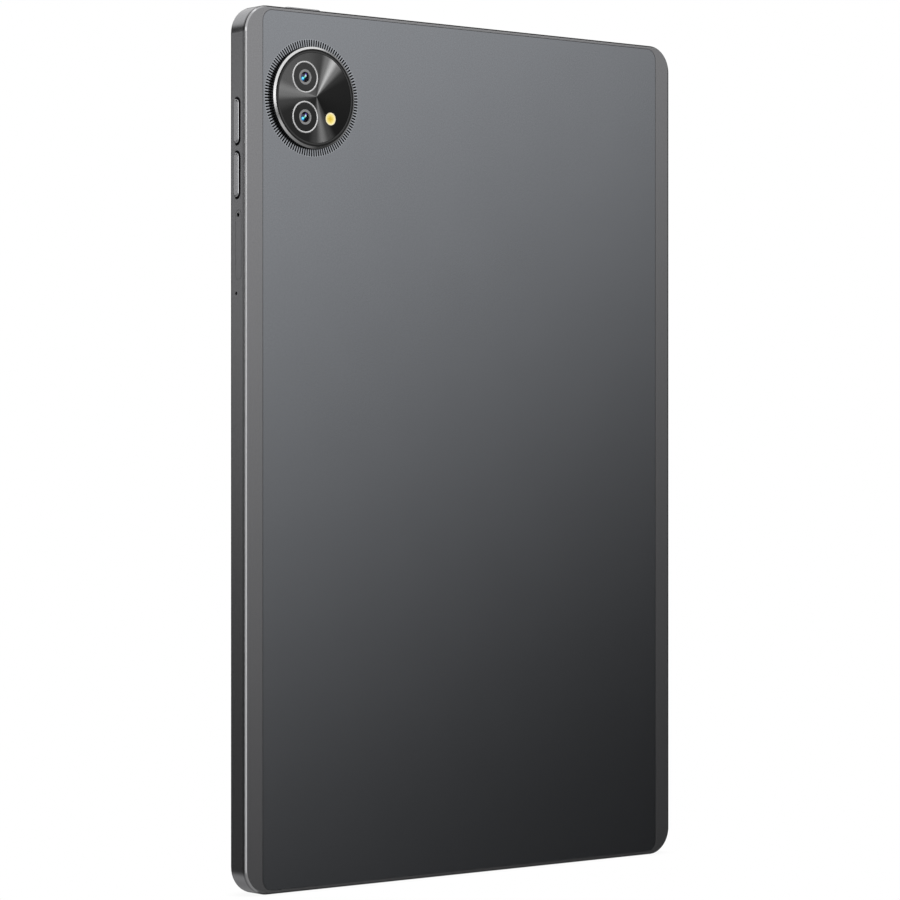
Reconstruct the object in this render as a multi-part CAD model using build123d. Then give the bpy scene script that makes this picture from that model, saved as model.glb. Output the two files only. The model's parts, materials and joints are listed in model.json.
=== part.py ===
from build123d import *
import os

# An 11-inch class tablet computer, standing upright in portrait.
# Millimetres. The origin is the centre of the bottom edge's face. +Z runs up the long side to the
# edge with the power button, -Y is the screen side, +Y the camera side, +X the side with the keys.

# ---- overall size ----
WIDTH = 166.4
HEIGHT = 255.0
CORNER_R = 8.0
Y_GLASS = -3.9            # front face of the glass
Y_BACK = 3.9              # outer face of the back
HALF_W = WIDTH / 2
MID_Z = HEIGHT / 2

# ---- side frame ----
Y_RIM = -3.85             # the frame's rim round the glass
RIM_R = 1.2               # rounding between the side and the rim
BACK_CHAMFER = 0.55       # polished chamfer round the back
CHAMFER_ROUND = 0.45      # rounding between that chamfer and the side
CHAMFER_EASE = 0.25       # rounding between that chamfer and the back
WALL = 2.2
RIM_WALL = 0.6            # frame left outside the glass
BAND = 6.15               # width of the frame's band on the long edges of the back
END_BAND = 1.1            # width of the same band on the short edges
LEDGE = 2.6               # ledge under the back panel's edge
Y_LEDGE = 2.4             # inner face of that ledge
Y_SEAT = 3.0              # the face that carries the panel's adhesive
Y_FLANGE = -0.9           # back face of the flange round the display
PANEL_CORNER_R = 3.4

# ---- display stack ----
GLASS_T = 0.8
GLASS_GAP = 0.1
ADHESIVE_T = 0.15
OPENING_W = 154.0         # opening in the flange for the display
OPENING_H = 243.0
LCD_W = 151.0
LCD_H = 240.5
Y_LCD = (-3.0, -1.9)
Y_BACKLIGHT = (-1.85, -0.95)
Y_PLATE = (-0.85, -0.35)  # mid plate

# ---- back panel ----
PANEL_GAP = 0.14
PANEL_T = 0.8

# ---- camera island ----
ISLAND_X = HALF_W - 23.77
ISLAND_Z = HEIGHT - 25.61
PANEL_HOLE_R = 17.07
TRIM_R = 17.05
TRIM_INNER_R = 14.9
TRIM_FLANGE_R = 17.4
SLOT_COUNT = 120
SLOT_W = 0.45
SLOT_DEPTH = 0.5
SLOT_END_R = 16.95        # outer end of the radial slots
ISLAND_R = 14.75
ISLAND_FLANGE_R = 16.3
ISLAND_RISE = 1.6         # height of the island above the back
ISLAND_BEVEL = (0.64, 0.37)  # width and height of the bevel round its top
DISC_R = 13.05
Y_DISC = (4.9, 5.44)
LENS_X = ISLAND_X + 3.5
LENS_PITCH = 11.56
LENS_Z = {"upper": ISLAND_Z + LENS_PITCH / 2, "lower": ISLAND_Z - LENS_PITCH / 2}
LENS_RING_R = 4.65
LENS_RING_INNER_R = 4.15
LENS_RING_TOP = 5.6
LENS_RING_ROUND = 0.22
Y_COVER = (5.1, 5.48)
MODULE_W = 8.6            # square housing of a rear camera
Y_MODULE = (-0.2, 2.2)
BARREL_R = 3.4
Y_BARREL = 5.05           # front end of its barrel
MOUTH_R = 2.17
MOUTH_DEPTH = 0.3
LENS_R = 1.6              # front element
Y_LENS = (4.0, 4.45)      # its cylindrical part
DOME_R = 3.2
FLASH_X = ISLAND_X - 5.73
FLASH_Z = LENS_Z["lower"]
FLASH_R = 2.0
FLASH_DISH_R = 1.55
FLASH_DISH = 0.14

# ---- keys ----
KEY_LENGTH = 12.7
KEY_WIDTH = 2.4
KEY_Y = -0.25
KEY_CLEARANCE = 0.2
KEY_ROUND = 0.45          # rounding of a key's cap
KEY_PROUD = 0.5
POWER_PROUD = 0.7
KEY_FLANGE = 0.5          # how far a key's hidden flange reaches past its cap
KEY_FLANGE_T = 0.5
KEY_POCKET_WALL = 1.4     # frame wall left in front of the key flanges
KEY_PLAY = 0.1            # between that wall and a key's flange
KEY_POCKET_DEPTH = 5.9    # of the pockets' floors below the outer faces
STEM_R = 0.7
STEM_LENGTH = 0.6
SWITCH_DEPTH = 3.05       # of a switch's dome below the outer face
SWITCH_DOME = (0.9, 0.25)  # radius and height
SWITCH_BASE_T = 0.35
SWITCH_HALF = (1.3, 1.6)  # half the width and half the length of a switch
KEY_FLEX_T = 0.15
KEY_FLEX_Y = (-1.9, 1.35)
BRACKET_T = 0.35
VOLUME_Z = {"up": HEIGHT - 33.45, "down": HEIGHT - 48.8}
POWER_X = HALF_W - 23.35
Y_KEY_POCKET = (-2.1, 1.7)

# ---- card tray ----
TRAY_Y = 0.6
TRAY_Z = HEIGHT - 68.8
TRAY_LENGTH = 19.8
TRAY_WIDTH = 2.6
TRAY_CLEARANCE = 0.1
TRAY_FACE_T = 1.5
BLADE_END_X = 54.8
BLADE_Z = (177.3, 192.0)
BLADE_Y = (0.05, 0.95)
BLADE_CHAMFER = 0.8
CARD_POCKETS = [((56.0, 64.9), (178.4, 190.8)), ((66.0, 81.1), (179.1, 190.2))]
CARD_FLOOR = 0.25
CARD_LEDGE = 1.2          # border of the floor round each pocket's opening
READER_X = (50.0, 79.0)
READER_Y = (-0.25, 1.35)
READER_Z = (176.3, 196.2)
READER_SHEET = 0.15
READER_WALL = 0.2
READER_RAIL = (57.0, 192.6)  # inner end and height of the rail beside the blade
LEVER_Y = (0.2, 0.7)
LEVER_HALF = 0.6
LEVER_ARM = 6.4           # from the pivot to the end that pushes the tray
LEVER_TOE = (1.1, 1.2)
LEVER_HUB_R = 1.2
PIN_HOLE_R = 0.6
ROD_Y = 0.45
ROD_Z = HEIGHT - 60.27
ROD_R = 0.4
ROD_X = (52.75, 81.3)
PIVOT_X = 52.0
PIVOT_Z = 190.5
PIVOT_R = 0.5
PIVOT_CLEARANCE = 0.05

# ---- ports and holes ----
MIC_Y = -0.5
MIC_Z = HEIGHT - 82.7
MIC_R = 0.5
USB_Y = 0.1
USB_SHELL_W = 8.94
USB_SHELL_T = 3.16
USB_WALL = 0.3
USB_GAP = 0.15
GRILLE_X = 36.0
GRILLE_COUNT = 6
GRILLE_PITCH = 4.2
GRILLE_SLOT = (3.2, 1.2)
GRILLE_Y = 0.4
SPEAKER_W = 30.0
SPEAKER_H = 12.4
SPEAKER_EDGE = 2.7        # from the tablet's end to the speaker
SPEAKER_Y = (-0.25, 2.3)
SPEAKER_PORT = (24.0, 3.0)
SPEAKER_PORT_Y = (0.0, 1.3)
FRONT_CAMERA_X = 78.7
FRONT_CAMERA_R = 1.9

# ---- boards and battery ----
Y_BOARD = (1.4, 2.2)
BOARD_X = (-38.0, 76.0)
BOARD_Z = (174.0, 239.0)
Y_USB_BOARD = (1.7, 2.3)
CELL_W = 67.0
CELL_H = 122.0
CELL_GAP = 8.0
CELL_Z = 103.0
Y_CELL = (-0.25, 2.65)
SHIELD_Y = -0.1           # inner face of the shielding cans
SHIELD_WALL = 0.2
SHIELDS = {"processor": ((-8, 26), (186, 224)), "power": ((29, 50), (198, 232))}
ANTENNA_Z = {"wireless": (200, 236), "mobile": (20, 56)}

# ---- screws ----
BOSS_R = 1.6
THREAD_R = 0.65
SCREW_R = 0.6
SCREW_HOLE_R = 0.8
HEAD_R = 1.15
HEAD_T = 0.45
DRIVE_R = 0.5
PLATE_SCREWS = [(side * 79.0, z) for side in (-1, 1) for z in (14, 66, 110, 160, 241)]
PLATE_SCREWS += [(x, z) for x in (-62, -16, 16) for z in (4.2, 250.8)]
BOARD_SCREWS = [(-35, 177.5), (-35, 235.5), (5, 235.5), (40, 235.5), (46, 180), (5, 177.5)]
USB_BOARD_SCREWS = [(-17, 22), (17, 22), (-17, 9), (17, 9)]


# ---- building blocks ----

def block(x, y, z):
    """A box between two values on each axis."""
    size = (x[1] - x[0], y[1] - y[0], z[1] - z[0])
    centre = ((x[0] + x[1]) / 2, (y[0] + y[1]) / 2, (z[0] + z[1]) / 2)
    return Pos(*centre) * Box(*size)


def plate(sketch, y):
    """A sketch in X and Z, made solid between two depths."""
    return extrude(Plane.XZ.offset(-y[1]) * sketch, amount=y[1] - y[0])


def side_prism(sketch, x):
    """A sketch in Y and Z, made solid between two values of X."""
    return extrude(Plane.YZ.offset(x[0]) * sketch, amount=x[1] - x[0])


def end_prism(sketch, z):
    """A sketch in X and Y, made solid between two heights."""
    return extrude(Plane.XY.offset(z[0]) * sketch, amount=z[1] - z[0])


def disc(radius, y, x, z):
    """A round plate, facing Y."""
    return plate(Pos(x, z) * Circle(radius), y)


def ring(outer, inner, y, x, z):
    """A round ring, facing Y."""
    return plate(Pos(x, z) * (Circle(outer) - Circle(inner)), y)


def sheet(width, height, corner, y):
    """A rounded rectangle centred on the tablet."""
    return plate(Pos(0, MID_Z) * RectangleRounded(width, height, corner), y)


def upright_pill(length, width):
    """A slot outline with its length along Z."""
    return SlotOverall(length, width, rotation=90)


def edges_at_y(shape, y):
    """The edges that lie wholly in one plane facing Y."""
    flat = 1e-4
    return [e for e in shape.edges() if all(abs(v.Y - y) < flat for v in (e @ 0, e @ 0.37, e @ 1))]


def save(shape, name):
    """One sub-part to one STEP file."""
    export_step(shape, f"parts/{name}.step")


# ---- housing ----

def frame_outline():
    """The frame's outer form: rounded corners, a chamfer at the back, a rounded rim."""
    body = sheet(WIDTH, HEIGHT, CORNER_R, (Y_RIM, Y_BACK))
    body = chamfer(edges_at_y(body, Y_BACK), BACK_CHAMFER)
    body = fillet(edges_at_y(body, Y_BACK - BACK_CHAMFER), CHAMFER_ROUND)
    body = fillet(edges_at_y(body, Y_BACK), CHAMFER_EASE)
    return fillet(edges_at_y(body, Y_RIM), RIM_R)


def frame_cavity():
    """The space inside the frame, from the glass to the back panel."""
    glass_w = WIDTH - 2 * RIM_WALL
    glass_h = HEIGHT - 2 * RIM_WALL
    y_glass_seat = Y_GLASS + GLASS_T + ADHESIVE_T
    glass = sheet(glass_w, glass_h, CORNER_R - RIM_WALL, (Y_GLASS - 1, y_glass_seat))
    display = sheet(OPENING_W, OPENING_H, 2, (y_glass_seat, Y_FLANGE))
    room = sheet(WIDTH - 2 * WALL, HEIGHT - 2 * WALL, CORNER_R - WALL, (Y_FLANGE, Y_LEDGE))
    inset_w = WIDTH - 2 * BAND
    inset_h = HEIGHT - 2 * END_BAND
    ledge = sheet(inset_w - 2 * LEDGE, inset_h - 2 * LEDGE, 2, (Y_LEDGE, Y_SEAT))
    panel = sheet(inset_w, inset_h, PANEL_CORNER_R, (Y_SEAT, Y_BACK + 1))
    island = disc(TRIM_FLANGE_R + 0.2, (Y_LEDGE, Y_SEAT), ISLAND_X, ISLAND_Z)
    return glass + display + room + ledge + panel + island


def key_openings():
    """The slots for the three keys, with the pockets for their flanges and switches."""
    reach = (HALF_W - 4, HALF_W + 1)
    length = KEY_LENGTH + 2 * KEY_CLEARANCE
    width = KEY_WIDTH + 2 * KEY_CLEARANCE
    pocket_x = (HALF_W - KEY_POCKET_DEPTH, HALF_W - KEY_POCKET_WALL)
    cuts = [side_prism(Pos(KEY_Y, z) * upright_pill(length, width), reach) for z in VOLUME_Z.values()]
    pocket_z = (VOLUME_Z["down"] - 9.5, VOLUME_Z["up"] + 9.5)
    cuts.append(block(pocket_x, Y_KEY_POCKET, pocket_z))
    power = Pos(POWER_X, KEY_Y) * SlotOverall(length, width)
    cuts.append(end_prism(power, (HEIGHT - 3, HEIGHT + 1)))
    pocket_z = (HEIGHT - KEY_POCKET_DEPTH, HEIGHT - KEY_POCKET_WALL)
    cuts.append(block((POWER_X - 9.2, POWER_X + 9.2), Y_KEY_POCKET, pocket_z))
    return cuts


def side_openings():
    """The card tray's slot, the microphone's hole and room for the front camera."""
    tray = upright_pill(TRAY_LENGTH + 2 * TRAY_CLEARANCE, TRAY_WIDTH + 2 * TRAY_CLEARANCE)
    wall = (HALF_W - WALL - 1, HALF_W + 1)
    return [
        side_prism(Pos(TRAY_Y, TRAY_Z) * tray, wall),
        side_prism(Pos(MIC_Y, MIC_Z) * Circle(MIC_R), wall),
        block((76.5, HALF_W - WALL), (-1.8, Y_FLANGE), (MIC_Z - 2.4, MIC_Z + 2.4)),
        disc(FRONT_CAMERA_R + 0.15, (-3, Y_FLANGE), FRONT_CAMERA_X, MID_Z),
        block((76.5, HALF_W - WALL), (-2.0, Y_FLANGE), (MID_Z - 3.6, MID_Z + 3.6)),
    ]


def end_openings():
    """The port in the bottom edge and the speaker grilles in both short edges."""
    port = SlotOverall(USB_SHELL_W + 2 * USB_GAP, USB_SHELL_T + 2 * USB_GAP)
    cuts = [
        end_prism(Pos(0, USB_Y) * port, (-1, WALL + 1)),
        block((-5, 5), (-1.8, Y_FLANGE), (WALL, 6.5)),
    ]
    first = GRILLE_X - GRILLE_PITCH * (GRILLE_COUNT - 1) / 2
    for side in (-1, 1):
        for i in range(GRILLE_COUNT):
            slot = Pos(side * (first + i * GRILLE_PITCH), GRILLE_Y) * SlotOverall(*GRILLE_SLOT)
            cuts.append(end_prism(slot, (-1, WALL + 1)))
            cuts.append(end_prism(slot, (HEIGHT - WALL - 1, HEIGHT + 1)))
    return cuts


def side_frame():
    """The frame that makes the sides and the bands of the back."""
    body = frame_outline() - frame_cavity()
    body -= key_openings() + side_openings() + end_openings()
    return body - [disc(THREAD_R, (-2.4, Y_FLANGE), x, z) for x, z in PLATE_SCREWS]


def back_panel():
    """The metal sheet inset in the frame, with the hole for the camera island."""
    width = WIDTH - 2 * (BAND + PANEL_GAP)
    height = HEIGHT - 2 * (END_BAND + PANEL_GAP)
    panel = sheet(width, height, PANEL_CORNER_R - PANEL_GAP, (Y_BACK - PANEL_T, Y_BACK))
    return panel - disc(PANEL_HOLE_R, (Y_SEAT, Y_BACK + 1), ISLAND_X, ISLAND_Z)


def panel_adhesive():
    """The adhesive frame that holds the back panel on its ledge."""
    margin = 0.3
    inset_w = WIDTH - 2 * BAND
    inset_h = HEIGHT - 2 * END_BAND
    y = (Y_SEAT, Y_BACK - PANEL_T)
    outer = sheet(inset_w - 2 * margin, inset_h - 2 * margin, 2.5, y)
    inner = sheet(inset_w - 2 * LEDGE + 2 * margin, inset_h - 2 * LEDGE + 2 * margin, 2, y)
    return outer - inner - disc(TRIM_FLANGE_R + 0.4, y, ISLAND_X, ISLAND_Z)


# ---- display ----

def front_glass():
    """The cover glass, with its front edge rounded."""
    inset = RIM_WALL + GLASS_GAP
    size = (WIDTH - 2 * inset, HEIGHT - 2 * inset)
    glass = sheet(*size, CORNER_R - inset, (Y_GLASS, Y_GLASS + GLASS_T))
    return fillet(edges_at_y(glass, Y_GLASS), 0.55)


def display_adhesive():
    """The adhesive frame between the glass and the side frame."""
    margin = 1.0
    y = (Y_GLASS + GLASS_T, Y_GLASS + GLASS_T + ADHESIVE_T)
    outer = sheet(WIDTH - 2 * margin, HEIGHT - 2 * margin, CORNER_R - margin, y)
    adhesive = outer - sheet(OPENING_W + 2, OPENING_H + 2, 2, y)
    return adhesive - disc(FRONT_CAMERA_R + 0.3, y, FRONT_CAMERA_X, MID_Z)


def optical_adhesive():
    """The clear sheet that bonds the display to the glass."""
    return sheet(LCD_W - 2, LCD_H - 2, 1, (Y_GLASS + GLASS_T, Y_LCD[0]))


def lcd_panel():
    """The liquid crystal cell."""
    return sheet(LCD_W, LCD_H, 1, Y_LCD)


def backlight_unit():
    """The backlight in its pressed metal tray."""
    tray = sheet(LCD_W - 0.5, LCD_H - 0.5, 1, Y_BACKLIGHT)
    recess = sheet(LCD_W - 8, LCD_H - 8, 3, (Y_BACKLIGHT[1] - 0.08, Y_BACKLIGHT[1]))
    return tray - recess


def mid_plate():
    """The chassis plate behind the display, with bosses for the boards."""
    gap = 0.2
    size = (WIDTH - 2 * (WALL + gap), HEIGHT - 2 * (WALL + gap))
    body = sheet(*size, CORNER_R - WALL - gap, Y_PLATE)
    notch = (Y_PLATE[0] - 1, Y_PLATE[1] + 1)
    edge = (HALF_W - 6.2, HALF_W)
    body -= [
        block(edge, notch, (VOLUME_Z["down"] - 10, VOLUME_Z["up"] + 10)),
        block(edge, notch, (MIC_Z - 2.8, MIC_Z + 2.8)),
        block((76.3, HALF_W), notch, (MID_Z - 4, MID_Z + 4)),
        block((POWER_X - 9.5, POWER_X + 9.5), notch, (HEIGHT - 6.2, HEIGHT)),
        block((-5.2, 5.2), notch, (0, 8)),
        block((-31, -13), notch, (200, 203.6)),
    ]
    body += [disc(BOSS_R, (Y_PLATE[1], Y_BOARD[0]), x, z) for x, z in BOARD_SCREWS]
    body += [disc(BOSS_R, (Y_PLATE[1], Y_USB_BOARD[0]), x, z) for x, z in USB_BOARD_SCREWS]
    holes = [disc(THREAD_R, (Y_PLATE[1], 2), x, z) for x, z in BOARD_SCREWS + USB_BOARD_SCREWS]
    holes += [disc(SCREW_HOLE_R, notch, x, z) for x, z in PLATE_SCREWS]
    return body - holes


# ---- camera island ----

def camera_trim_ring():
    """The ring flush in the back, cut with radial slots that open on its inner side."""
    body = ring(TRIM_R, TRIM_INNER_R, (Y_SEAT, Y_BACK), ISLAND_X, ISLAND_Z)
    body += ring(TRIM_FLANGE_R, TRIM_INNER_R, (Y_SEAT - 0.2, Y_SEAT + 0.05), ISLAND_X, ISLAND_Z)
    start = TRIM_INNER_R - 0.4
    end = SLOT_END_R - SLOT_W / 2
    slot = Pos((start + end) / 2, 0) * Rectangle(end - start, SLOT_W)
    slot += Pos(end, 0) * Circle(SLOT_W / 2)
    fan = Sketch() + [spot * slot for spot in PolarLocations(0, SLOT_COUNT)]
    return body - plate(Pos(ISLAND_X, ISLAND_Z) * fan, (Y_BACK - SLOT_DEPTH, Y_BACK + 1))


def camera_island_bezel():
    """The turned cup that stands out of the back and carries the disc and the lenses."""
    top = Y_BACK + ISLAND_RISE
    base = 2.3
    body = disc(ISLAND_R, (base, top), ISLAND_X, ISLAND_Z)
    face = body.faces().sort_by(Axis.Y)[-1]
    body = chamfer(face.edges(), *ISLAND_BEVEL, reference=face)
    body += disc(ISLAND_FLANGE_R, (base, base + 0.4), ISLAND_X, ISLAND_Z)
    body -= disc(DISC_R + 0.05, (Y_DISC[0], top + 1), ISLAND_X, ISLAND_Z)
    body -= disc(13.5, (base, 4.3), ISLAND_X, ISLAND_Z)
    body -= [disc(LENS_RING_INNER_R - 0.4, (base, top), LENS_X, z) for z in LENS_Z.values()]
    return body - disc(FLASH_R + 0.05, (base, top), FLASH_X, FLASH_Z)


def camera_deco_disc():
    """The spun metal disc between the lenses and the bezel."""
    body = disc(DISC_R, Y_DISC, ISLAND_X, ISLAND_Z)
    body -= [disc(LENS_RING_R + 0.05, (4, 6), LENS_X, z) for z in LENS_Z.values()]
    return body - disc(FLASH_R + 0.05, (4, 6), FLASH_X, FLASH_Z)


def lens_ring(z):
    """The bright ring round one rear camera."""
    body = ring(LENS_RING_R, LENS_RING_INNER_R, (Y_DISC[0], LENS_RING_TOP), LENS_X, z)
    return fillet(edges_at_y(body, LENS_RING_TOP), LENS_RING_ROUND)


def lens_cover(z):
    """The cover glass of one rear camera."""
    return disc(LENS_RING_INNER_R - 0.05, Y_COVER, LENS_X, z)


def camera_module(z):
    """One rear camera: a square actuator housing and a round barrel."""
    half = MODULE_W / 2
    body = block((LENS_X - half, LENS_X + half), Y_MODULE, (z - half, z + half))
    body += disc(BARREL_R, (Y_MODULE[1], Y_BARREL), LENS_X, z)
    body -= disc(MOUTH_R, (Y_BARREL - MOUTH_DEPTH, Y_BARREL + 1), LENS_X, z)
    return body - disc(LENS_R + 0.1, (Y_LENS[0] - 0.05, Y_BARREL + 1), LENS_X, z)


def camera_lens(z):
    """The front element of one rear camera, domed towards the back."""
    centre_y = Y_LENS[1] - (DOME_R ** 2 - LENS_R ** 2) ** 0.5
    dome = Pos(LENS_X, centre_y, z) * Sphere(DOME_R)
    dome &= disc(LENS_R, (Y_LENS[1], Y_LENS[1] + DOME_R), LENS_X, z)
    return dome + disc(LENS_R, Y_LENS, LENS_X, z)


def flash_lens():
    """The flash's moulded lens, with a shallow dish in its face."""
    body = disc(FLASH_R, (4.35, Y_COVER[1]), FLASH_X, FLASH_Z)
    return body - disc(FLASH_DISH_R, (Y_COVER[1] - FLASH_DISH, 6), FLASH_X, FLASH_Z)


def flash_led():
    """The flash's light emitting diode."""
    half = 1.2
    return block((FLASH_X - half, FLASH_X + half), (3.4, 4.3), (FLASH_Z - half, FLASH_Z + half))


# ---- keys ----

def volume_button(z):
    """A volume key: rounded cap, retaining flange and the stem that meets its switch."""
    spot = Pos(KEY_Y, z)
    front = HALF_W - KEY_POCKET_WALL - KEY_PLAY
    back = front - KEY_FLANGE_T
    cap = side_prism(spot * upright_pill(KEY_LENGTH, KEY_WIDTH), (front, HALF_W + KEY_PROUD))
    cap = fillet(cap.edges().group_by(Axis.X)[-1], KEY_ROUND)
    flange = upright_pill(KEY_LENGTH + 2 * KEY_FLANGE, KEY_WIDTH + 2 * KEY_FLANGE)
    cap += side_prism(spot * flange, (back, front))
    return cap + side_prism(spot * Circle(STEM_R), (back - STEM_LENGTH, back))


def power_button():
    """The power key in the top edge."""
    spot = Pos(POWER_X, KEY_Y)
    front = HEIGHT - KEY_POCKET_WALL - KEY_PLAY
    back = front - KEY_FLANGE_T
    cap = end_prism(spot * SlotOverall(KEY_LENGTH, KEY_WIDTH), (front, HEIGHT + POWER_PROUD))
    cap = fillet(cap.edges().group_by(Axis.Z)[-1], KEY_ROUND)
    flange = SlotOverall(KEY_LENGTH + 2 * KEY_FLANGE, KEY_WIDTH + 2 * KEY_FLANGE)
    cap += end_prism(spot * flange, (back, front))
    return cap + end_prism(spot * Circle(STEM_R), (back - STEM_LENGTH, back))


def switch_levels(outer):
    """Where a switch's foot, its base's top and its dome's top lie behind an outer face."""
    top = outer - SWITCH_DEPTH
    shoulder = top - SWITCH_DOME[1]
    return shoulder - SWITCH_BASE_T, shoulder, top


def side_key_switches():
    """The two dome switches behind the volume keys."""
    foot, shoulder, top = switch_levels(HALF_W)
    half_y, half_z = SWITCH_HALF
    y = (KEY_Y - half_y, KEY_Y + half_y)
    switches = []
    for z in VOLUME_Z.values():
        base = block((foot, shoulder), y, (z - half_z, z + half_z))
        dome = side_prism(Pos(KEY_Y, z) * Circle(SWITCH_DOME[0]), (shoulder, top))
        switches.append(base + dome)
    return Compound(children=switches)


def side_key_flex():
    """The flexible circuit under the volume switches, with its tail to the main board."""
    foot = switch_levels(HALF_W)[0]
    z = (VOLUME_Z["down"] - 8.5, VOLUME_Z["up"] + 8.5)
    strip = block((foot - KEY_FLEX_T, foot), KEY_FLEX_Y, z)
    tail_y = (KEY_FLEX_Y[1] - KEY_FLEX_T, KEY_FLEX_Y[1])
    return strip + block((70, foot), tail_y, (210, 216))


def side_key_bracket():
    """The bent steel bracket that backs the volume switches."""
    gap = 0.05
    x = switch_levels(HALF_W)[0] - KEY_FLEX_T - gap
    z = (VOLUME_Z["down"] - 8.5, VOLUME_Z["up"] + 8.5)
    wall = block((x - BRACKET_T, x), (KEY_FLEX_Y[0], 1.1), z)
    return wall + block((x - 4, x), (-0.3, 0.05), (z[0] + 2, z[1] - 2))


def power_key_switch():
    """The dome switch behind the power key."""
    foot, shoulder, top = switch_levels(HEIGHT)
    half_y, half_x = SWITCH_HALF
    x = (POWER_X - half_x, POWER_X + half_x)
    base = block(x, (KEY_Y - half_y, KEY_Y + half_y), (foot, shoulder))
    return base + end_prism(Pos(POWER_X, KEY_Y) * Circle(SWITCH_DOME[0]), (shoulder, top))


def power_key_flex():
    """The flexible circuit under the power switch, with its tail to the main board."""
    foot = switch_levels(HEIGHT)[0]
    strip = block((POWER_X - 8, POWER_X + 8), KEY_FLEX_Y, (foot - KEY_FLEX_T, foot))
    tail_y = (KEY_FLEX_Y[1] - KEY_FLEX_T, KEY_FLEX_Y[1])
    return strip + block((POWER_X - 8, POWER_X - 3), tail_y, (235, foot))


# ---- card tray ----

def sim_tray():
    """The card tray: a flush face with the pinhole, and a blade with two card pockets."""
    x_face = (HALF_W - TRAY_FACE_T, HALF_W)
    face = side_prism(Pos(TRAY_Y, TRAY_Z) * upright_pill(TRAY_LENGTH, TRAY_WIDTH), x_face)
    face -= side_prism(Pos(ROD_Y, ROD_Z) * Circle(PIN_HOLE_R), (HALF_W - 3, HALF_W + 1))
    blade = block((BLADE_END_X, x_face[0]), BLADE_Y, BLADE_Z)
    blade = chamfer(blade.edges().filter_by(Axis.Y).group_by(Axis.X)[0], BLADE_CHAMFER)
    ledge = CARD_LEDGE
    for x, z in CARD_POCKETS:
        blade -= block(x, (BLADE_Y[0] + CARD_FLOOR, BLADE_Y[1] + 1), z)
        blade -= block((x[0] + ledge, x[1] - ledge), (-1, 2), (z[0] + ledge, z[1] - ledge))
    return face + blade


def sim_card_reader():
    """The reader's sheet metal shell, open to the side, with the eject lever's rivet."""
    x, z = READER_X, READER_Z
    low, high = READER_Y
    body = block(x, (low, low + READER_SHEET), z) + block(x, (high - READER_SHEET, high), z)
    body += block(x, READER_Y, (z[0], z[0] + READER_WALL))
    body += block(x, READER_Y, (z[1] - READER_WALL, z[1]))
    rail_x, rail_z = READER_RAIL
    body += block((rail_x, x[1]), READER_Y, (rail_z, rail_z + READER_WALL))
    return body + disc(PIVOT_R, READER_Y, PIVOT_X, PIVOT_Z)


def sim_eject_rod():
    """The wire rod that a pin pushes through the tray's hole."""
    rod = side_prism(Pos(ROD_Y, ROD_Z) * Circle(ROD_R), ROD_X)
    return chamfer(rod.edges().group_by(Axis.X)[-1], ROD_R / 4)


def sim_eject_lever():
    """The lever that turns on the reader's rivet and pushes the tray out."""
    low = PIVOT_Z - LEVER_ARM
    toe_x, toe_z = LEVER_TOE
    bar = block((PIVOT_X - LEVER_HALF, PIVOT_X + LEVER_HALF), LEVER_Y, (low, ROD_Z + 0.5))
    bar += disc(LEVER_HUB_R, LEVER_Y, PIVOT_X, PIVOT_Z)
    bar += block((PIVOT_X, PIVOT_X + toe_x), LEVER_Y, (low, low + toe_z))
    return bar - disc(PIVOT_R + PIVOT_CLEARANCE, READER_Y, PIVOT_X, PIVOT_Z)


# ---- power and boards ----

def battery_cell(side):
    """One of the two flat pouch cells."""
    x = side * (CELL_GAP + CELL_W) / 2
    cell = plate(Pos(x, CELL_Z) * RectangleRounded(CELL_W, CELL_H, 2), Y_CELL)
    cell = fillet(edges_at_y(cell, Y_CELL[1]), 0.5)
    return cell + block((x - 6, x + 6), (0.8, 1.0), (CELL_Z + CELL_H / 2, CELL_Z + CELL_H / 2 + 1.4))


def battery_tape():
    """The two stretch-release strips that hold the cells on the mid plate."""
    y = (Y_PLATE[1], Y_CELL[0])
    x = (CELL_GAP + CELL_W) / 2
    return Compound(children=[block((s * x - 22, s * x + 22), y, (52, 154)) for s in (-1, 1)])


def battery_board():
    """The protection board along the cells, with its lead to the main board."""
    z = (CELL_Z + CELL_H / 2 + 1.6, CELL_Z + CELL_H / 2 + 6.4)
    board = block((-44, 44), (-0.2, 0.6), z)
    lead = block((10, 20), (0.4, 0.55), (z[0], 182))
    return board + lead + block((10, 20), (0.55, Y_BOARD[0]), (179, 182))


def main_board():
    """The main circuit board, cut out round the cameras and drilled for its screws."""
    body = block(BOARD_X, Y_BOARD, BOARD_Z)
    cut_x = (LENS_X - 5, LENS_X + 5)
    body -= block(cut_x, (0, 4), (LENS_Z["lower"] - 5, LENS_Z["upper"] + 5))
    return body - [disc(SCREW_HOLE_R, (0, 4), x, z) for x, z in BOARD_SCREWS]


def shield(x, z):
    """A pressed shielding can soldered to the inner side of the main board."""
    wall = SHIELD_WALL
    y = (SHIELD_Y, Y_BOARD[0])
    can = block(x, y, z)
    can = fillet(edges_at_y(can, y[0]), 0.3)
    inside = ((x[0] + wall, x[1] - wall), (y[0] + wall, y[1]), (z[0] + wall, z[1] - wall))
    return can - block(*inside)


def graphite_sheet():
    """The heat spreading sheet between the main board and the back panel."""
    return block((-37, 40), (2.95, 3.05), (176, 240))


def usb_board():
    """The small board along the bottom edge that carries the port."""
    body = block((-20, 20), Y_USB_BOARD, (3.9, 26))
    return body - [disc(SCREW_HOLE_R, (0, 4), x, z) for x, z in USB_BOARD_SCREWS]


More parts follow.
